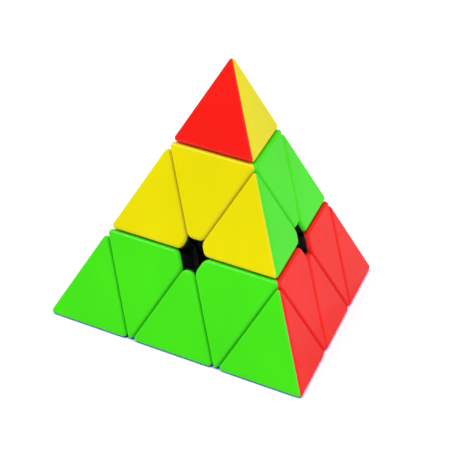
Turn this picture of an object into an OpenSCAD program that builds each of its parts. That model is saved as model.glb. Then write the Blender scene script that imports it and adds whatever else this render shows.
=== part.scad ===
// Pyramid twisty puzzle: a tetrahedron whose four corners turn about its four axes.
//
// The centre of the core is the origin and the upper corner points along +Z. The front face
// looks toward -Y, and each face is named by where it looks. The upper layer stands a third of
// a turn on from the solved state, and the upper tip a third of a turn on from its layer.

/* [Outside] */
// Width of the base across its rounded corners
overall_w = 98; // [97:0.5:104]
// Radius that rounds the corners and the long edges of the pyramid
corner_r = 1; // [0.6:0.1:1.4]
// Gap between neighbouring pieces
piece_gap = 0.4; // [0.2:0.02:0.44]
// Distance from the centre of a face to the blunt corners of the six pieces round it
hole_d = 4.5; // [3.6:0.1:4.8]
// Rounding of those blunt corners
hole_corner_r = 2.8; // [2.2:0.1:3]
// Depth of the bevel around the outline of a piece
outline_bevel = 0.3; // [0.1:0.05:0.4]

/* [Coloured shells] */
// Wall thickness of a shell
wall = 1.8; // [1.5:0.1:2]
// Gap at the seam between two shells of one piece
seam = 0.04; // [0.02:0.01:0.1]
// Radius of the peg that holds a shell on its black inner piece
peg_r = 1.2; // [1:0.05:1.3]
// Radial clearance of a peg in its socket
peg_clear = 0.05; // [0.02:0.01:0.08]

/* [Black mechanism] */
// Radius of the core ball
core_r = 10; // [9:0.1:10.2]
// Gap between the core ball and the feet that slide over it
core_gap = 0.15; // [0.1:0.01:0.25]
// Radius at which the feet of the edges pass under the rims of the centres
foot_r = 14.5; // [14.2:0.1:14.6]
// Gap between those feet and rims
foot_gap = 0.2; // [0.1:0.01:0.3]
// Outer radius of the black rims, under the coloured shells
rim_r = 19.9; // [19.2:0.1:20]
// How far the black rims stand proud of the shells round the hole of a face
hole_lip = 0.4; // [0.2:0.1:0.6]
// Height above the centre, along a turning axis, where the feet that turn with it begin
foot_d = 5.3; // [5:0.1:5.6]
// Height where the foot of a centre piece begins
centre_foot_d = 9; // [8:0.5:10]

/* [Turning axes] */
// Radius of the tube that stands in each centre piece
tube_r = 6.2; // [6:0.1:6.6]
// Bore of that tube
bore_r = 4.12; // [4.08:0.01:4.2]
// Radius of the tip stem that turns in the bore
stem_r = 4.05; // [3.9:0.01:4.06]
// Radius of the snap barbs on the stem
barb_r = 4.5; // [4.3:0.05:4.6]
// Radius of the groove that the barbs snap into
groove_r = 4.7; // [4.65:0.05:5]
// Radius of the core arms
arm_r = 3.6; // [3.2:0.1:3.7]
// Nominal thread radius of the screws
screw_r = 1.5; // [1.4:0.05:1.55]
// Wire radius of the springs
wire_r = 0.35; // [0.25:0.05:0.4]
// Outer radius of the springs
spring_r = 3.6; // [3.3:0.1:3.8]
// Turns of each spring
spring_turns = 4.5; // [3.5:0.5:5]

/* [Hidden] */
CORNERS = ["upper", "left", "right", "rear"];
// Each face lies opposite the corner in the same place of the list.
FACES = ["base", "right", "left", "front"];
AXES = [
    [0, 0, 1],
    [-sqrt(2 / 3), -sqrt(2) / 3, -1 / 3],
    [sqrt(2 / 3), -sqrt(2) / 3, -1 / 3],
    [0, 2 * sqrt(2) / 3, -1 / 3]
];
// The two corners that each edge piece lies between
EDGES = [[0, 1], [0, 2], [0, 3], [1, 2], [1, 3], [2, 3]];
EDGE_NAMES = [
    "upper_left", "upper_right", "upper_rear", "lower_front", "lower_left", "lower_right"
];

$fn = 96;

BLACK = [0.06, 0.06, 0.06];
STEEL = [0.75, 0.76, 0.78];
RED = [0.93, 0.12, 0.1];
GREEN = [0.26, 0.86, 0.1];
YELLOW = [0.92, 0.85, 0.05];
BLUE = [0.05, 0.22, 0.8];
// Colours in the order of FACES
LOWER_COLOURS = [BLUE, RED, YELLOW, GREEN];
UPPER_COLOURS = [BLUE, GREEN, RED, YELLOW];
TIP_COLOURS = [BLUE, YELLOW, GREEN, RED];

// The sharp tetrahedron that the rounded pyramid is cut from
side = overall_w + 2 * corner_r * (3 * sqrt(2 / 3) - 1);
height = side * sqrt(2 / 3);
face_d = height / 4;
layer_d = height / 12;
tip_d = height * 5 / 12;
vertex_d = height * 3 / 4;
half_gap = piece_gap / 2;
// A ball of corner_r in a corner or along an edge leaves this much of the sharp shape.
corner_cut = 2 * corner_r;
edge_cut = (sqrt(3) - 1) * corner_r;

// Heights along a turning axis
arm_bottom = 8;
arm_top = 11.5;
arm_clear = 0.08;
floor_under = arm_top + 0.1;
floor_top = 14.4;
tube_top = tip_d - half_gap;
tip_floor = tip_d + half_gap;
screw_bottom = 4;
screw_seat = 22.1;
screw_head_r = 2.75;
screw_head_h = 2.2;
recess_w = 0.7;
recess_l = 3.4;
recess_depth = 1.2;
screw_pilot_r = screw_r + 0.02;
screw_pass_r = screw_r + 0.1;
washer_r = 3.8;
washer_t = 0.6;
stem_bottom = 25.2;
groove_bottom = 25.6;
groove_top = 28.2;
barb_bottom = 26;
barb_top = 27.5;
stem_hollow_r = 2.6;
stem_hollow_top = 32.5;
stem_slot_w = 1.2;
flange_r = 6;
flange_clear = 0.06;
post_r = 3.6;
post_top = vertex_d - 16.4;
rim_clear = 0.1;
// The holes at the face centres go down to just above the feet.
hole_floor = foot_r + foot_gap + 0.2;

// How far a peg reaches into its socket, and the bosses of the centre pieces
tip_plug = 1.5;
edge_plug = 1.5;
centre_plug = 3;
centre_stand = 1;
boss_r = 2.4;
boss_l = 5.5;
// Upright post of an edge foot
edge_post_half_t = 2.2;
edge_post_half_w = 4;
edge_post_top = 28;
// Tilt of each visible face of an edge from the plane across its own axis
edge_face_tilt = acos(1 / sqrt(3));
// Half the width of the blocks that bound a solid by planes
reach = 90;
// Turn that keeps the poles of a sphere away from the turning axes
ball_turn = [90, 0, 0];

// ---- Directions, places and planes ----

function unit(v) = v / norm(v);
function others(i) = [for (k = [0:3]) if (k != i) k];
function faces_of(e) = [for (k = [0:3]) if (k != EDGES[e][0] && k != EDGES[e][1]) k];
// The two corners other than i and j
function rest(i, j) = [for (k = [0:3]) if (k != i && k != j) k];
function vertex(i) = AXES[i] * vertex_d;

// A plane is [outward normal, distance from the origin], and the solid lies inside it.
function face(k, inset = 0) = [-AXES[k], face_d - inset];
function above(i, h) = [-AXES[i], -h];
function below(i, h) = [AXES[i], h];
// The seam plane that keeps the side of face j and drops that of face k
function seam_to(j, k) = [unit(AXES[j] - AXES[k]), -seam / 2];
// Cuts the edge where two planes meet, to a given depth below it
function bevel(p, q, depth) =
    let (n = p[0] + q[0]) [unit(n), (p[1] + q[1]) / norm(n) - depth];

// Middle of the coloured triangle that a piece shows
function tip_middle(i, j) =
    let (r = rest(i, j)) (7 * vertex(i) + vertex(r[0]) + vertex(r[1])) / 9;
function centre_middle(i, j) =
    let (r = rest(i, j)) (5 * vertex(i) + 2 * vertex(r[0]) + 2 * vertex(r[1])) / 9;
function edge_middle(i, j, other) = (4 * vertex(i) + 4 * vertex(j) + vertex(other)) / 9;

// How far the wall of face k stands, along its peg, from a surface at distance d along n
function stand(k, middle, n, d) = ((middle + wall * AXES[k]) * n - d) / (-AXES[k] * n);
tip_stand = stand(1, tip_middle(0, 1), -unit([AXES[1].x, AXES[1].y, 0]), post_r);
edge_stand = stand(3, edge_middle(0, 1, 2), unit(AXES[2] - AXES[3]), edge_post_half_t);

// Turns +Z to a direction
module along(n) {
    rotate([0, acos(n.z), atan2(n.y, n.x)]) children();
}

module inside(planes) {
    intersection_for (p = planes)
        along(p[0]) translate([-reach, -reach, p[1] - 2 * reach]) cube(2 * reach);
}

// Moves a solid built at the upper corner to corner i, by a half-turn of the tetrahedron
module at_corner(i) {
    if (i == 0) children();
    else rotate(a = 180, v = AXES[0] + AXES[i]) children();
}

// Moves a solid built on +Z, with its corners toward +X and -X, to the edge between i and j
module at_edge(i, j) {
    z = unit(AXES[i] + AXES[j]);
    x = unit(AXES[i] - AXES[j]);
    y = cross(z, x);
    multmatrix([
        [x.x, y.x, z.x, 0],
        [x.y, y.y, z.y, 0],
        [x.z, y.z, z.z, 0]
    ]) children();
}

// A spherical layer between two radii, with its poles away from the axes
module ball_layer(r_in, r_out) {
    rotate(ball_turn) difference() {
        sphere(r = r_out);
        sphere(r = r_in);
    }
}

// Blunts the corner of a piece at the centre of a face with outward normal n, where toward
// points to the piece, from a bottom plane outward and at distance d from the face's centre
module hole_corner_cut(n, toward, bottom, d) {
    x = unit(toward - (toward * n) * n);
    y = cross(n, x);
    r = hole_corner_r;
    flat = (d - r) / sqrt(3);
    tangent = d + r / 2;
    spare = 2 * hole_d;
    multmatrix([
        [x.x, y.x, n.x, 0],
        [x.y, y.y, n.y, 0],
        [x.z, y.z, n.z, 0]
    ])
        translate([0, 0, bottom])
            linear_extrude(face_d - bottom + 1)
                polygon(concat(
                    [[-spare, -spare], [tangent, -spare]],
                    [for (a = [240:-10:180]) [d + r + r * cos(a), -flat + r * sin(a)]],
                    [for (a = [180:-10:120]) [d + r + r * cos(a), flat + r * sin(a)]],
                    [[tangent, spare], [-spare, spare]]
                ));
}

// A peg on the inside of a shell of face k, and the socket that takes it
module peg(k, middle, length) {
    translate(middle) along(-AXES[k])
        translate([0, 0, -wall - length]) cylinder(r = peg_r, h = length + wall / 2);
}

module socket(k, middle, mouth, depth) {
    translate(middle) along(-AXES[k])
        translate([0, 0, -wall - mouth - depth - 0.1])
            cylinder(r = peg_r + peg_clear, h = depth + 0.1 + mouth);
}

// ---- Core and turning axes ----

module core() {
    color(BLACK) difference() {
        union() {
            rotate(ball_turn) sphere(r = core_r);
            for (a = AXES) along(a) translate([0, 0, arm_bottom])
                cylinder(r = arm_r, h = arm_top - arm_bottom);
        }
        for (a = AXES) along(a) translate([0, 0, screw_bottom - 0.5])
            cylinder(r = screw_pilot_r, h = arm_top);
    }
}

module axis_screws() {
    color(STEEL) for (a = AXES) along(a) difference() {
        union() {
            translate([0, 0, screw_bottom]) cylinder(r = screw_r, h = screw_seat - screw_bottom);
            translate([0, 0, screw_seat]) cylinder(r = screw_head_r, h = screw_head_h);
        }
        for (turn = [0, 90]) rotate(turn)
            translate([-recess_l / 2, -recess_w / 2, screw_seat + screw_head_h - recess_depth])
                cube([recess_l, recess_w, recess_depth + 1]);
    }
}

module spring_washers() {
    color(STEEL) for (a = AXES) along(a) translate([0, 0, screw_seat - washer_t]) difference() {
        cylinder(r = washer_r, h = washer_t);
        translate([0, 0, -1]) cylinder(r = screw_pass_r, h = washer_t + 2);
    }
}

// A helix of round wire between two heights along +Z
module coil(z_low, z_high) {
    sides = 6;
    steps = round(spring_turns * 10);
    mid_r = spring_r - wire_r;
    points = [for (s = [0:steps], k = [0:sides - 1])
        let (
            turn = 360 * spring_turns * s / steps,
            around = 360 * k / sides,
            r = mid_r + wire_r * cos(around)
        )
        [r * cos(turn), r * sin(turn), z_low + (z_high - z_low) * s / steps + wire_r * sin(around)]
    ];
    walls = [for (s = [0:steps - 1], k = [0:sides - 1])
        let (next = (k + 1) % sides)
        [s * sides + k, s * sides + next, (s + 1) * sides + next, (s + 1) * sides + k]
    ];
    first = [for (k = [sides - 1:-1:0]) k];
    last = [for (k = [0:sides - 1]) steps * sides + k];
    polyhedron(points, concat(walls, [first, last]), convexity = 6);
}

module axis_springs() {
    clear = wire_r + 0.03;
    color(STEEL) for (a = AXES) along(a)
        coil(floor_top + clear, screw_seat - washer_t - clear);
}

// ---- Tips ----

module tip_hub(i) {
    color(BLACK) difference() {
        along(AXES[i]) {
            translate([0, 0, stem_bottom]) cylinder(r = stem_r, h = tip_floor - stem_bottom);
            translate([0, 0, barb_bottom]) cylinder(r = barb_r, h = barb_top - barb_bottom);
            translate([0, 0, tip_floor]) cylinder(r = flange_r, h = wall);
            translate([0, 0, tip_floor]) cylinder(r = post_r, h = post_top - tip_floor);
        }
        along(AXES[i]) translate([0, 0, stem_bottom - 1]) {
            cylinder(r = stem_hollow_r, h = stem_hollow_top - stem_bottom + 1);
            for (turn = [0, 90]) rotate(turn)
                translate([-2 * stem_r, -stem_slot_w / 2, 0])
                    cube([4 * stem_r, stem_slot_w, stem_hollow_top - stem_bottom]);
        }
        for (j = others(i)) socket(j, tip_middle(i, j), tip_stand, tip_plug);
    }
}

// The third of a tip that shows face j
module tip_shell(i, j) {
    r = rest(i, j);
    floor = above(i, tip_floor);
    color((i == 0 ? TIP_COLOURS : LOWER_COLOURS)[j]) {
        difference() {
            inside([
                face(j), floor, below(i, vertex_d - corner_cut),
                seam_to(j, r[0]), seam_to(j, r[1]),
                bevel(face(j), face(r[0]), edge_cut), bevel(face(j), face(r[1]), edge_cut),
                bevel(face(j), floor, outline_bevel)
            ]);
            inside([face(j, wall), above(i, tip_floor + wall)]);
            along(AXES[i]) translate([0, 0, tip_d])
                cylinder(r = flange_r + flange_clear, h = wall + piece_gap);
        }
        peg(j, tip_middle(i, j), tip_stand + tip_plug);
    }
}

// ---- Centres ----

module centre_body(i) {
    color(BLACK) at_corner(i) difference() {
        union() {
            intersection() {
                ball_layer(core_r + core_gap, foot_r + foot_gap);
                inside(concat(
                    [above(0, centre_foot_d)],
                    [for (j = others(0)) below(j, foot_d - half_gap)]
                ));
            }
            difference() {
                intersection() {
                    ball_layer(foot_r + foot_gap / 2, rim_r);
                    inside(concat(
                        [above(0, layer_d + half_gap)],
                        [for (j = others(0)) below(j, layer_d - half_gap)]
                    ));
                }
                for (j = others(0))
                    hole_corner_cut(-AXES[j], AXES[0], hole_floor, hole_d - hole_lip);
            }
            translate([0, 0, foot_r]) cylinder(r = tube_r, h = tube_top - foot_r);
            for (j = others(0)) translate(centre_middle(0, j)) along(-AXES[j])
                translate([0, 0, -wall - centre_stand - boss_l]) cylinder(r = boss_r, h = boss_l);
        }
        translate([0, 0, core_r - 1]) cylinder(r = arm_r + arm_clear, h = floor_under - core_r + 1);
        translate([0, 0, core_r]) cylinder(r = screw_pass_r, h = floor_top - core_r + 1);
        translate([0, 0, floor_top]) cylinder(r = bore_r, h = tube_top - floor_top + 1);
        translate([0, 0, groove_bottom]) cylinder(r = groove_r, h = groove_top - groove_bottom);
        for (j = others(0)) socket(j, centre_middle(0, j), centre_stand, centre_plug);
    }
}

// The third of a centre piece that shows face j
module centre_shell(i, j) {
    r = rest(i, j);
    top = below(i, tube_top);
    cut = layer_d - half_gap;
    color((i == 0 ? UPPER_COLOURS : LOWER_COLOURS)[j]) {
        difference() {
            inside([
                face(j), top, above(i, layer_d + half_gap), below(r[0], cut), below(r[1], cut),
                seam_to(j, r[0]), seam_to(j, r[1]),
                bevel(face(j), face(r[0]), edge_cut), bevel(face(j), face(r[1]), edge_cut),
                bevel(face(j), top, outline_bevel),
                bevel(face(j), below(r[0], cut), outline_bevel),
                bevel(face(j), below(r[1], cut), outline_bevel)
            ]);
            inside([
                face(j, wall), below(i, tube_top - wall),
                below(r[0], cut - wall), below(r[1], cut - wall)
            ]);
            rotate(ball_turn) sphere(r = rim_r + rim_clear);
            along(AXES[i]) translate([0, 0, rim_r])
                cylinder(r = tube_r + flange_clear, h = tip_d - rim_r);
            hole_corner_cut(-AXES[j], AXES[i], foot_r, hole_d);
        }
        peg(j, centre_middle(i, j), centre_stand + centre_plug);
    }
}

// ---- Edges ----

module edge_foot(e) {
    // Here the edge's corners lie toward +X and -X, and its faces toward +Y and -Y.
    middle = edge_middle(0, 1, 2);
    up = unit(AXES[0] + AXES[1]);
    local_middle = [0, middle * unit(AXES[2] - AXES[3]), middle * up];
    ends = [for (s = [-1, 1]) [s * sqrt(2 / 3), 0, 1 / sqrt(3)]];
    sides = [for (s = [-1, 1]) [0, s * sqrt(2 / 3), 1 / sqrt(3)]];
    hold = layer_d + half_gap + wall + rim_clear;
    color(BLACK) at_edge(EDGES[e][0], EDGES[e][1]) difference() {
        union() {
            intersection() {
                ball_layer(core_r + core_gap, foot_r - foot_gap / 2);
                inside([for (n = ends) [-n, -foot_d - half_gap]]);
            }
            difference() {
                intersection() {
                    ball_layer(foot_r - foot_gap, rim_r);
                    inside([for (n = ends) [-n, -layer_d - half_gap]]);
                }
                for (n = sides) hole_corner_cut(n, [0, 0, 1], hole_floor, hole_d - hole_lip);
            }
            intersection() {
                translate([-edge_post_half_w, -edge_post_half_t, rim_r - 1.5])
                    cube([2 * edge_post_half_w, 2 * edge_post_half_t, edge_post_top - rim_r + 1.5]);
                inside([for (n = ends) [-n, -hold]]);
            }
        }
        for (half = [0, 180]) rotate(half) translate(local_middle) rotate([-edge_face_tilt, 0, 0])
            translate([0, 0, -wall - edge_stand - edge_plug - 0.1])
                cylinder(r = peg_r + peg_clear, h = edge_plug + 0.1 + edge_stand);
    }
}

// The half of an edge piece that shows face k
module edge_shell(e, k) {
    i = EDGES[e][0];
    j = EDGES[e][1];
    other = [for (f = faces_of(e)) if (f != k) f][0];
    cut = layer_d + half_gap;
    color((i == 0 ? UPPER_COLOURS : LOWER_COLOURS)[k]) {
        difference() {
            inside([
                face(k), above(i, cut), above(j, cut), seam_to(k, other),
                bevel(face(k), face(other), edge_cut),
                bevel(face(k), above(i, cut), outline_bevel),
                bevel(face(k), above(j, cut), outline_bevel)
            ]);
            inside([face(k, wall), above(i, cut + wall), above(j, cut + wall)]);
            rotate(ball_turn) sphere(r = rim_r + rim_clear);
            hole_corner_cut(-AXES[k], AXES[i] + AXES[j], foot_r, hole_d);
        }
        peg(k, edge_middle(i, j, other), edge_stand + edge_plug);
    }
}

// ---- The parts ----

core();
axis_screws();
spring_washers();
axis_springs();
for (i = [0:3]) {
    tip_hub(i);
    centre_body(i);
    for (j = others(i)) {
        tip_shell(i, j);
        centre_shell(i, j);
    }
}
for (e = [0:5]) {
    edge_foot(e);
    for (k = faces_of(e))
        edge_shell(e, k);
}
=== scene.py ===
"""A pyramid twisty puzzle: rounded, coloured shells over a black turning mechanism.

The shells are built here, one pattern for each kind of piece, and set round the four turning
axes. The black bodies, screws, springs and washers are the model's own nodes with new materials.
"""

import math

import bmesh
import bpy
from mathutils import Matrix, Vector


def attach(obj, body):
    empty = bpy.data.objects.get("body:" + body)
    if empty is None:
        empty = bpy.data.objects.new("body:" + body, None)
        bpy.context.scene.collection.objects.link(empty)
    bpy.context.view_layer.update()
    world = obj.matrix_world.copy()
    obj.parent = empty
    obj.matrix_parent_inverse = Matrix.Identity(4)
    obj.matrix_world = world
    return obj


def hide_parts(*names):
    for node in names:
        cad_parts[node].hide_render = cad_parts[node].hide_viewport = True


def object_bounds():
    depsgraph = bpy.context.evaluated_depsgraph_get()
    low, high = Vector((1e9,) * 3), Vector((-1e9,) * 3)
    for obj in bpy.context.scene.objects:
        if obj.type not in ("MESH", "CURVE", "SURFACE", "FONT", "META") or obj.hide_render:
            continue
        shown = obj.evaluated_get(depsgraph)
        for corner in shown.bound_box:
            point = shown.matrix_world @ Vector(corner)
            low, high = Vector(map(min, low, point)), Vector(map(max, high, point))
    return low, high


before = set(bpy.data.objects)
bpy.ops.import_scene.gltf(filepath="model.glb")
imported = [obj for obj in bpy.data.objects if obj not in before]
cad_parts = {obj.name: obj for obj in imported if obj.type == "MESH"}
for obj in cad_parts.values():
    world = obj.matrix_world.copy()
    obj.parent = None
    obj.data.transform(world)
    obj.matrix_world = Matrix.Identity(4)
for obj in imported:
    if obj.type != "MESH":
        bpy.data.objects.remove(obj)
cad_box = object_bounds()

MM = 0.001

# ---- Sizes, in metres, as the model has them ----

HEIGHT = -4 * cad_box[0][2]          # of the sharp tetrahedron, from its base to its upper corner
FACE_D = HEIGHT / 4                  # from the centre of the core to a face
LAYER_D = HEIGHT / 12                # to the plane under a turning layer
TIP_D = HEIGHT * 5 / 12              # to the plane under a tip
HALF_GAP = 0.2 * MM                  # on each side of a turning plane
WALL = 1.8 * MM
RIM_R = 20.0 * MM                    # inside of the shells, over the black rims
TUBE_HOLE_R = 6.26 * MM
FLANGE_HOLE_R = 6.06 * MM
PEG_R = 1.2 * MM
PEG_LEAD = 0.3 * MM                  # chamfer on the end of a peg, and flare at its root
PEG_ROOT = 0.2 * MM                  # how deep a peg starts inside its wall
TIP_PEG_L = 2.9 * MM
CENTRE_PEG_L = 4.0 * MM
EDGE_PEG_L = 3.8 * MM
SEAM = 0.04 * MM

# ---- Finish of the moulded shells ----

EDGE_R = 1.0 * MM                    # rounding of every outside edge
HOLE_D = 4.5 * MM                    # from the centre of a face to the blunt corners there
HOLE_CORNER_R = 2.8 * MM             # rounding on each side of those corners
SEAM_BREAK = 0.09 * MM               # broken edge where two shells of a piece meet
ARC_STEP = math.radians(10)
BLOCK = 0.4                          # side of the block that solids are cut from

CORNERS = ("upper", "left", "right", "rear")
FACES = ("base", "right", "left", "front")     # each opposite the corner in the same place
AXES = (
    Vector((0, 0, 1)),
    Vector((-math.sqrt(2 / 3), -math.sqrt(2) / 3, -1 / 3)),
    Vector((math.sqrt(2 / 3), -math.sqrt(2) / 3, -1 / 3)),
    Vector((0, 2 * math.sqrt(2) / 3, -1 / 3)),
)
EDGES = {
    "upper_left": (0, 1), "upper_right": (0, 2), "upper_rear": (0, 3),
    "lower_front": (1, 2), "lower_left": (1, 3), "lower_right": (2, 3),
}
# Colour of each face, in the order of FACES, on the three blocks that turn against each other
LOWER_COLOURS = ("blue", "red", "yellow", "green")
UPPER_COLOURS = (None, "green", "red", "yellow")
TIP_COLOURS = (None, "yellow", "green", "red")


# ---- Directions in a piece's own frame ----
# At a corner, +Z is its turning axis and +X leans to the face that the shell shows.
# At an edge, +Z passes through its middle, its corners lie along X and its faces along Y.

LEAN = 2 * math.sqrt(2) / 3


def corner_face(azimuth):
    a = math.radians(azimuth)
    return Vector((LEAN * math.cos(a), LEAN * math.sin(a), 1 / 3))


def corner_axis(azimuth):
    a = math.radians(azimuth)
    return Vector((LEAN * math.cos(a), LEAN * math.sin(a), -1 / 3))


def edge_end(side):
    return Vector((side * math.sqrt(2 / 3), 0, 1 / math.sqrt(3)))


def edge_face(side):
    return Vector((0, side * math.sqrt(2 / 3), 1 / math.sqrt(3)))


UP = Vector((0, 0, 1))


# ---- Solids bounded by planes ----

def convex(planes):
    """The solid inside planes of (outward normal, distance from the origin)."""
    bm = bmesh.new()
    bmesh.ops.create_cube(bm, size=BLOCK)
    for normal, distance in planes:
        cut = bmesh.ops.bisect_plane(
            bm, geom=bm.verts[:] + bm.edges[:] + bm.faces[:], dist=1e-9,
            plane_co=normal * distance, plane_no=normal, clear_outer=True)
        rim = [g for g in cut["geom_cut"] if isinstance(g, bmesh.types.BMEdge)]
        if rim:
            bmesh.ops.contextual_create(bm, geom=rim)
    bmesh.ops.remove_doubles(bm, verts=bm.verts[:], dist=1e-8)
    bmesh.ops.recalc_face_normals(bm, faces=bm.faces[:])
    return bm


def hole_corner(face_normal, toward, lean):
    """Planes that blunt a piece's corner at the centre of a face: a flat between two arcs.

    The flat stands square to the face, and the arcs lean more and more as the piece's sides do.
    """
    n = face_normal.normalized()
    e = (toward - toward.dot(n) * n).normalized()
    t = n.cross(e)
    inset = HALF_GAP / LEAN
    half_flat = (HOLE_D - HOLE_CORNER_R - 2 * inset) / math.sqrt(3)
    planes = [(-e, -HOLE_D)]
    steps = int(round(math.radians(60) / ARC_STEP))
    for side in (-1, 1):
        middle = n * FACE_D + e * (HOLE_D + HOLE_CORNER_R) + t * side * half_flat
        for k in range(1, steps):
            out = Matrix.Rotation(-side * k * ARC_STEP, 3, n) @ -e
            normal = (out * LEAN + n * lean * k / steps / 3).normalized()
            planes.append((normal, normal.dot(middle + out * HOLE_CORNER_R)))
    return planes


def fan_of_normals(normals):
    """Directions that fill the corner between face normals, with those normals among them."""
    centre = sum(normals, Vector()).normalized()
    side = centre.orthogonal().normalized()
    other = centre.cross(side)
    ring = sorted(normals, key=lambda n: math.atan2(n.dot(other), n.dot(side)))
    found = [centre]
    for a, b in zip(ring, ring[1:] + ring[:1]):
        steps = max(1, int(math.ceil(a.angle(b) / ARC_STEP)))
        arc = [a.slerp(b, k / steps) for k in range(steps)]
        for d in arc:
            inward = max(1, int(math.ceil(d.angle(centre) / ARC_STEP)))
            found += [d.slerp(centre, k / inward) for k in range(inward)]
    return found


def rounded(planes):
    """A solid bounded by planes, with every edge and corner rounded to EDGE_R."""
    inner = convex([(n, d - EDGE_R) for n, d in planes])
    points = []
    for v in inner.verts:
        normals = []
        for f in v.link_faces:
            if all(f.normal.angle(n) > 1e-3 for n in normals):
                normals.append(f.normal.copy())
        for d in fan_of_normals(normals):
            points.append(v.co + d * EDGE_R)
    inner.free()
    bm = bmesh.new()
    for p in points:
        bm.verts.new(p)
    bmesh.ops.remove_doubles(bm, verts=bm.verts[:], dist=2e-6)
    hull = bmesh.ops.convex_hull(bm, input=bm.verts[:])
    spare = [v for v in hull["geom_interior"] if isinstance(v, bmesh.types.BMVert)]
    bmesh.ops.delete(bm, geom=spare, context="VERTS")
    bmesh.ops.dissolve_limit(
        bm, angle_limit=math.radians(0.5), verts=bm.verts[:], edges=bm.edges[:])
    bmesh.ops.recalc_face_normals(bm, faces=bm.faces[:])
    return bm


def split_at_seams(bm, seams):
    """Keeps the part of a rounded piece inside its seam planes and breaks the cut edges."""
    for normal in seams:
        cut = bmesh.ops.bisect_plane(
            bm, geom=bm.verts[:] + bm.edges[:] + bm.faces[:], dist=1e-9,
            plane_co=-normal * SEAM / 2, plane_no=normal, clear_outer=True)
        rim = [g for g in cut["geom_cut"] if isinstance(g, bmesh.types.BMEdge)]
        bmesh.ops.contextual_create(bm, geom=rim)
    bmesh.ops.recalc_face_normals(bm, faces=bm.faces[:])
    flat = {f for f in bm.faces if any(f.normal.angle(n) < 1e-3 for n in seams)}
    rims = [e for e in bm.edges if len([f for f in e.link_faces if f in flat]) == 1]
    bmesh.ops.bevel(
        bm, geom=rims, offset=SEAM_BREAK, offset_type="OFFSET", segments=2, profile=0.5,
        affect="EDGES", clamp_overlap=True)
    bmesh.ops.remove_doubles(bm, verts=bm.verts[:], dist=0.005 * MM)
    bmesh.ops.dissolve_degenerate(bm, dist=0.001 * MM, edges=bm.edges[:])


def to_object(name, bm):
    mesh = bpy.data.meshes.new(name)
    bmesh.ops.recalc_face_normals(bm, faces=bm.faces[:])
    bm.to_mesh(mesh)
    bm.free()
    obj = bpy.data.objects.new(name, mesh)
    bpy.context.collection.objects.link(obj)
    return obj


def ball(radius):
    """A ball with its poles along Y, away from the edges of the pieces that it cuts."""
    bm = bmesh.new()
    bmesh.ops.create_uvsphere(
        bm, u_segments=96, v_segments=64, radius=radius,
        matrix=Matrix.Rotation(math.radians(90), 4, "X"))
    return bm


def rod(radius, low, high):
    bm = bmesh.new()
    bmesh.ops.create_cone(
        bm, cap_ends=True, segments=64, radius1=radius, radius2=radius, depth=high - low,
        matrix=Matrix.Translation((0, 0, (low + high) / 2)))
    return bm


def add_peg(bm, face_normal, root, length):
    """A round peg with a chamfered end, standing on the inside of a shell."""
    lead = PEG_LEAD
    profile = [
        (PEG_R + lead, 0), (PEG_R + 0.3 * lead, lead), (PEG_R, 2 * lead),
        (PEG_R, length - lead), (PEG_R - 0.5 * lead, length - 0.2 * lead), (PEG_R - lead, length),
    ]
    inward = -face_normal.normalized()
    place = Matrix.Translation(root) @ inward.to_track_quat("Z", "Y").to_matrix().to_4x4()
    sides = 32
    rings = []
    for r, z in profile:
        rings.append([bm.verts.new(place @ Vector((
            r * math.cos(2 * math.pi * k / sides), r * math.sin(2 * math.pi * k / sides), z)))
            for k in range(sides)])
    for a, b in zip(rings, rings[1:]):
        for k in range(sides):
            bm.faces.new((a[k], a[(k + 1) % sides], b[(k + 1) % sides], b[k]))
    bm.faces.new(rings[0][::-1])
    bm.faces.new(rings[-1])


def hollow(name, outer, cutters, face_normal, root, peg_length):
    """Cuts a solid piece down to its shell, adds the peg and returns the finished mesh."""
    obj = to_object(name, outer)
    for k, bm in enumerate(cutters):
        cutter = to_object(f"{name}_cutter_{k}", bm)
        mod = obj.modifiers.new("cut", "BOOLEAN")
        mod.operation = "DIFFERENCE"
        mod.solver = "MANIFOLD"
        mod.object = cutter
        view = bpy.context.evaluated_depsgraph_get()
        cut = bpy.data.meshes.new_from_object(obj.evaluated_get(view))
        obj.modifiers.clear()
        obj.data = cut
        bpy.data.objects.remove(cutter)
    bm = bmesh.new()
    bm.from_mesh(obj.data)
    bpy.data.objects.remove(obj)
    bmesh.ops.remove_doubles(bm, verts=bm.verts[:], dist=1e-7)
    bmesh.ops.dissolve_degenerate(bm, dist=1e-7, edges=bm.edges[:])
    add_peg(bm, face_normal, root, peg_length)
    bmesh.ops.recalc_face_normals(bm, faces=bm.faces[:])
    for f in bm.faces:
        f.smooth = True
    mesh = bpy.data.meshes.new(name)
    bm.to_mesh(mesh)
    bm.free()
    mesh.set_sharp_from_angle(angle=math.radians(32))
    return mesh


# ---- Patterns of the three kinds of shell ----

def sector_seams():
    """Seam planes on both sides of a third of a corner piece."""
    return [Vector((-math.sqrt(3) / 2, s / 2, 0)) for s in (-1, 1)]


def peg_root(middle, face_normal):
    """Where the peg starts: inside the wall, under the middle of the coloured triangle."""
    return middle - face_normal * (WALL - PEG_ROOT)


def tip_pattern():
    faces = [corner_face(a) for a in (0, 120, 240)]
    outer = rounded([(n, FACE_D) for n in faces] + [(-UP, -TIP_D - HALF_GAP)])
    split_at_seams(outer, sector_seams())
    inside = convex([(faces[0], FACE_D - WALL), (-UP, -TIP_D - HALF_GAP - WALL)])
    flange = rod(FLANGE_HOLE_R, TIP_D - MM, TIP_D + HALF_GAP + WALL + 0.2 * MM)
    z = TIP_D + HEIGHT / 9
    middle = Vector(((FACE_D - z / 3) / LEAN, 0, z))
    return hollow("tip_pattern", outer, [inside, flange], faces[0],
                  peg_root(middle, faces[0]), TIP_PEG_L)


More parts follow.
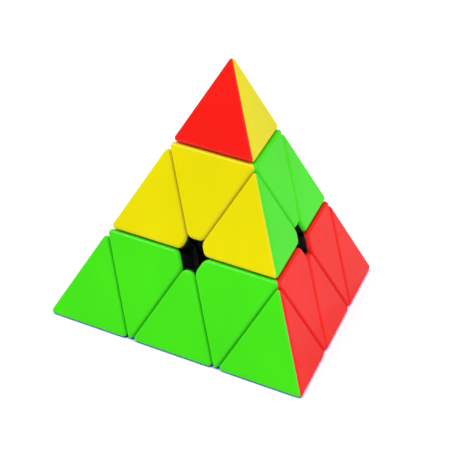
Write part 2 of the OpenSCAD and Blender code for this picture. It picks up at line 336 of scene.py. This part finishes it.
def centre_pattern():
    faces = [corner_face(a) for a in (0, 120, 240)]
    sides = [corner_axis(a) for a in (60, 180, 300)]
    cut = LAYER_D - HALF_GAP
    planes = [(n, FACE_D) for n in faces] + [(n, cut) for n in sides]
    planes += [(UP, TIP_D - HALF_GAP), (-UP, -LAYER_D - HALF_GAP)]
    for n in faces:
        planes += hole_corner(n, UP, 1)
    outer = rounded(planes)
    split_at_seams(outer, sector_seams())
    inside = convex(
        [(faces[0], FACE_D - WALL), (UP, TIP_D - HALF_GAP - WALL)]
        + [(sides[k], cut - WALL) for k in (0, 2)])
    tube = rod(TUBE_HOLE_R, RIM_R - 5 * MM, TIP_D)
    z = HEIGHT * 11 / 36
    middle = Vector(((FACE_D - z / 3) / LEAN, 0, z))
    return hollow("centre_pattern", outer, [inside, ball(RIM_R), tube], faces[0],
                  peg_root(middle, faces[0]), CENTRE_PEG_L)


def edge_pattern():
    face = edge_face(1)
    ends = [edge_end(s) for s in (-1, 1)]
    cut = LAYER_D + HALF_GAP
    planes = [(edge_face(s), FACE_D) for s in (-1, 1)] + [(-n, -cut) for n in ends]
    for s in (-1, 1):
        planes += hole_corner(edge_face(s), UP, -1)
    outer = rounded(planes)
    split_at_seams(outer, [Vector((0, -1, 0))])
    inside = convex([(face, FACE_D - WALL)] + [(-n, -cut - WALL) for n in ends])
    edge_z = FACE_D * math.sqrt(3)
    hole = face * FACE_D
    middle = (Vector((0, 0, edge_z)) * 2 + hole) / 3
    return hollow("edge_pattern", outer, [inside, ball(RIM_R)], face,
                  peg_root(middle, face), EDGE_PEG_L)


# ---- Materials ----

class Nodes:
    """A short way to write a node tree."""

    def __init__(self, name):
        self.mat = bpy.data.materials.new(name)
        self.mat.use_nodes = True
        self.tree = self.mat.node_tree
        self.bsdf = self.tree.nodes["Principled BSDF"]
        self.where = self.add("ShaderNodeTexCoord").outputs["Object"]

    def add(self, kind, **values):
        node = self.tree.nodes.new(kind)
        for key, value in values.items():
            if hasattr(node, key):
                setattr(node, key, value)
            else:
                node.inputs[key.replace("_", " ")].default_value = value
        return node

    def link(self, a, b):
        self.tree.links.new(a, b)

    def noise(self, scale, detail=3.0, rough=0.5):
        node = self.add("ShaderNodeTexNoise", Scale=scale, Detail=detail, Roughness=rough)
        self.link(self.where, node.inputs["Vector"])
        return node.outputs["Fac"]

    def spread(self, value, low, high, start=0.3, end=0.7):
        node = self.add("ShaderNodeMapRange")
        for key, v in (("From Min", start), ("From Max", end), ("To Min", low), ("To Max", high)):
            node.inputs[key].default_value = v
        self.link(value, node.inputs["Value"])
        return node.outputs["Result"]

    def mix(self, fac, a, b):
        node = self.add("ShaderNodeMix", data_type="RGBA")
        for value, key in ((a, 6), (b, 7)):
            if isinstance(value, tuple):
                node.inputs[key].default_value = (*value, 1)
            else:
                self.link(value, node.inputs[key])
        if isinstance(fac, float):
            node.inputs[0].default_value = fac
        else:
            self.link(fac, node.inputs[0])
        return node.outputs[2]

    def bump(self, height, strength, distance):
        node = self.add("ShaderNodeBump", Strength=strength, Distance=distance)
        self.link(height, node.inputs["Height"])
        return node.outputs["Normal"]


def shade(colour, factor):
    return tuple(min(1.0, c * factor) for c in colour)


def gloss_plastic(name, colour):
    """Moulded gloss plastic, dyed through, with a painted highlight: paler colour, in patches,
    along its rounded edges, which are also made a little rougher.
    """
    m = Nodes(name)
    drift = m.spread(m.noise(45, 2.0), 0.0, 1.0)
    body = m.mix(drift, shade(colour, 0.965), shade(colour, 1.03))
    # Painted highlight: a mask of the rounded edges, taken from the bevel normal, pales the colour
    # there as if light caught the fillets.
    edge = m.add("ShaderNodeBevel", samples=4, Radius=0.5 * MM)
    facing = m.add("ShaderNodeNewGeometry")
    turn = m.add("ShaderNodeVectorMath", operation="DOT_PRODUCT")
    m.link(edge.outputs["Normal"], turn.inputs[0])
    m.link(facing.outputs["Normal"], turn.inputs[1])
    edge_bend = m.spread(turn.outputs["Value"], 1.0, 0.0, 0.93, 0.998)
    patches = m.spread(m.noise(260, 3.0), 0.15, 0.75)
    edge_highlight_mask = m.add("ShaderNodeMath", operation="MULTIPLY")
    m.link(edge_bend, edge_highlight_mask.inputs[0])
    m.link(patches, edge_highlight_mask.inputs[1])
    # Paler colour of the painted edge highlight.
    pale = tuple(0.85 * c + 0.15 for c in colour)
    edge_highlit_colour = m.mix(edge_highlight_mask.outputs[0], body, pale)
    m.link(edge_highlit_colour, m.bsdf.inputs["Base Color"])
    smear = m.spread(m.noise(70, 4.0, 0.6), 0.16, 0.23)
    fine = m.spread(m.noise(1500, 2.0), -0.015, 0.02)
    rough = m.add("ShaderNodeMath", operation="ADD")
    m.link(smear, rough.inputs[0])
    m.link(fine, rough.inputs[1])
    # The same painted-highlight edge mask also makes the edges a little rougher.
    duller = m.add("ShaderNodeMath", operation="MULTIPLY_ADD")
    m.link(edge_highlight_mask.outputs[0], duller.inputs[0])
    duller.inputs[1].default_value = 0.12
    m.link(rough.outputs[0], duller.inputs[2])
    m.link(duller.outputs[0], m.bsdf.inputs["Roughness"])
    skin = m.bump(m.noise(2600, 2.0), 0.05, 0.02 * MM)
    m.link(skin, m.bsdf.inputs["Normal"])
    m.link(skin, m.bsdf.inputs["Coat Normal"])
    m.bsdf.inputs["Specular IOR Level"].default_value = 0.0
    m.bsdf.inputs["Coat Weight"].default_value = 0.2
    m.bsdf.inputs["Coat Roughness"].default_value = 0.14
    return m.mat


def satin_plastic(name, colour):
    """Moulded black nylon: fine spark-eroded grain and roughness that varies in patches."""
    m = Nodes(name)
    drift = m.spread(m.noise(80, 3.0), 0.0, 1.0)
    body = m.mix(drift, shade(colour, 0.8), shade(colour, 1.25))
    m.link(body, m.bsdf.inputs["Base Color"])
    rough = m.spread(m.noise(300, 3.0), 0.42, 0.58)
    m.link(rough, m.bsdf.inputs["Roughness"])
    grain = m.bump(m.noise(5200, 2.0, 0.6), 0.3, 0.02 * MM)
    m.link(grain, m.bsdf.inputs["Normal"])
    m.bsdf.inputs["Specular IOR Level"].default_value = 0.3
    return m.mat


def plated_steel(name, colour):
    """Bright zinc plate with faint drawing marks."""
    m = Nodes(name)
    drift = m.spread(m.noise(400, 3.0), 0.0, 1.0)
    body = m.mix(drift, shade(colour, 0.85), shade(colour, 1.08))
    m.link(body, m.bsdf.inputs["Base Color"])
    m.bsdf.inputs["Metallic"].default_value = 1.0
    rough = m.spread(m.noise(900, 4.0), 0.22, 0.38)
    m.link(rough, m.bsdf.inputs["Roughness"])
    lines = m.bump(m.noise(3800, 2.0), 0.15, 0.01 * MM)
    m.link(lines, m.bsdf.inputs["Normal"])
    return m.mat


def make_materials():
    red = (0.78, 0.010, 0.006)
    green = (0.052, 0.66, 0.008)
    yellow = (0.70, 0.615, 0.0005)
    blue = (0.012, 0.07, 0.62)
    return {
        "red": gloss_plastic("red_plastic", red),
        "green": gloss_plastic("green_plastic", green),
        "yellow": gloss_plastic("yellow_plastic", yellow),
        "blue": gloss_plastic("blue_plastic", blue),
        "black": satin_plastic("black_plastic", (0.006, 0.006, 0.005)),
        "steel": plated_steel("plated_steel", (0.62, 0.63, 0.65)),
    }


# ---- Setting the shells round the axes ----

def corner_place(i, j):
    """From a corner pattern's frame to corner i, showing face j."""
    z = AXES[i]
    x = (-AXES[j] + AXES[j].dot(z) * z).normalized()
    return Matrix((x, z.cross(x), z)).transposed()


def edge_place(i, j, k):
    """From the edge pattern's frame to the edge between corners i and j, showing face k."""
    z = (AXES[i] + AXES[j]).normalized()
    y = (-AXES[k] + AXES[k].dot(z) * z).normalized()
    return Matrix((y.cross(z), y, z)).transposed()


def add_shell(node, pattern, place, body, colour, materials):
    """One shell, in place, riding on its body and standing for its node."""
    mesh = pattern.copy()
    mesh.name = f"{node}_gloss"
    mesh.transform(place.to_4x4())
    mesh.materials.clear()
    mesh.materials.append(materials[colour])
    shell = bpy.data.objects.new(f"{node}_gloss", mesh)
    bpy.context.collection.objects.link(shell)
    smooth = shell.modifiers.new("even_shading", "WEIGHTED_NORMAL")
    smooth.keep_sharp = True
    smooth.weight = 100
    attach(shell, body)
    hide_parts(node)


def add_shells(materials):
    tip = tip_pattern()
    centre = centre_pattern()
    edge = edge_pattern()
    for i, corner in enumerate(CORNERS):
        layer = "upper_layer" if i == 0 else "base_block"
        for j, side in enumerate(FACES):
            if j == i:
                continue
            place = corner_place(i, j)
            colour = (TIP_COLOURS if i == 0 else LOWER_COLOURS)[j]
            add_shell(f"{corner}_tip_{side}_shell", tip, place, f"{corner}_tip", colour, materials)
            colour = (UPPER_COLOURS if i == 0 else LOWER_COLOURS)[j]
            add_shell(f"{corner}_centre_{side}_shell", centre, place, layer, colour, materials)
    for name, (i, j) in EDGES.items():
        layer = "upper_layer" if i == 0 else "base_block"
        for k, side in enumerate(FACES):
            if k in (i, j):
                continue
            colour = (UPPER_COLOURS if i == 0 else LOWER_COLOURS)[k]
            add_shell(f"{name}_edge_{side}_shell", edge, edge_place(i, j, k), layer, colour,
                      materials)


def dress_mechanism(materials):
    """New materials on the nodes that stay: black plastic, and steel on the hardware."""
    steel = {"axis_screws", "axis_springs", "spring_washers"}
    for name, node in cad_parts.items():
        if name.endswith("_shell"):
            continue
        finish = materials["steel" if name in steel else "black"]
        if not node.data.materials:
            node.data.materials.append(finish)
        for slot in node.material_slots:
            slot.material = finish


# ---- Floor, light and camera ----

def add_floor():
    """A plain pale sweep that carries the puzzle."""
    bm = bmesh.new()
    bmesh.ops.create_grid(bm, x_segments=1, y_segments=1, size=6)
    floor = to_object("floor", bm)
    floor.location.z = cad_box[0][2] - 0.02 * MM
    mat = bpy.data.materials.new("floor")
    mat.use_nodes = True
    bsdf = mat.node_tree.nodes["Principled BSDF"]
    bsdf.inputs["Base Color"].default_value = (0.97, 0.97, 0.97, 1)
    bsdf.inputs["Roughness"].default_value = 0.8
    floor.data.materials.append(mat)


def add_light(name, way, distance, size, watts):
    """A square softbox that looks at the puzzle from a direction."""
    data = bpy.data.lights.new(name, "AREA")
    data.size = size
    data.energy = watts
    light = bpy.data.objects.new(name, data)
    light.location = way * distance
    light.rotation_euler = way.to_track_quat("Z", "Y").to_euler()
    bpy.context.collection.objects.link(light)


def look_from(azimuth, elevation):
    a, e = math.radians(azimuth), math.radians(elevation)
    return Vector((math.sin(a) * math.cos(e), -math.cos(a) * math.cos(e), math.sin(e)))


def add_camera():
    """A long lens, a little off level, with the puzzle low in the picture."""
    back = look_from(43.9, 21.1)
    roll = math.radians(-1.8)
    level = Vector((-back.y, back.x, 0)).normalized()
    upright = back.cross(level)
    right = level * math.cos(roll) + upright * math.sin(roll)
    up = back.cross(right)
    data = bpy.data.cameras.new("camera")
    data.lens = 236
    data.sensor_width = 36
    data.shift_x = -0.018
    data.shift_y = 0.061
    data.clip_start = 0.05
    data.clip_end = 50
    camera = bpy.data.objects.new("camera", data)
    turn = Matrix((right, up, back)).transposed().to_4x4()
    camera.matrix_world = Matrix.Translation(back * 0.863) @ turn
    bpy.context.collection.objects.link(camera)
    bpy.context.scene.camera = camera


def add_light_and_air():
    """A white sky that dims toward the horizon, and three softboxes round the puzzle."""
    world = bpy.data.worlds.new("studio")
    bpy.context.scene.world = world
    world.use_nodes = True
    tree = world.node_tree
    sky = tree.nodes["Background"]
    where = tree.nodes.new("ShaderNodeTexCoord")
    parts = tree.nodes.new("ShaderNodeSeparateXYZ")
    height = tree.nodes.new("ShaderNodeMapRange")
    for key, value in (("From Min", 0.0), ("From Max", 1.0), ("To Min", 0.15), ("To Max", 1.52)):
        height.inputs[key].default_value = value
    tree.links.new(where.outputs["Generated"], parts.inputs[0])
    tree.links.new(parts.outputs["Z"], height.inputs["Value"])
    sky.inputs["Color"].default_value = (1, 1, 1, 1)
    tree.links.new(height.outputs["Result"], sky.inputs["Strength"])
    add_light("overhead", look_from(30, 68), 1.2, 0.2, 2.4)
    add_light("left_softbox", look_from(-75, 45), 1.0, 0.28, 2.9)
    add_light("right_softbox", look_from(110, 35), 1.0, 0.5, 1.5)


materials = make_materials()
add_shells(materials)
dress_mechanism(materials)
add_floor()
add_light_and_air()
add_camera()
bpy.context.scene.view_settings.view_transform = "Standard"
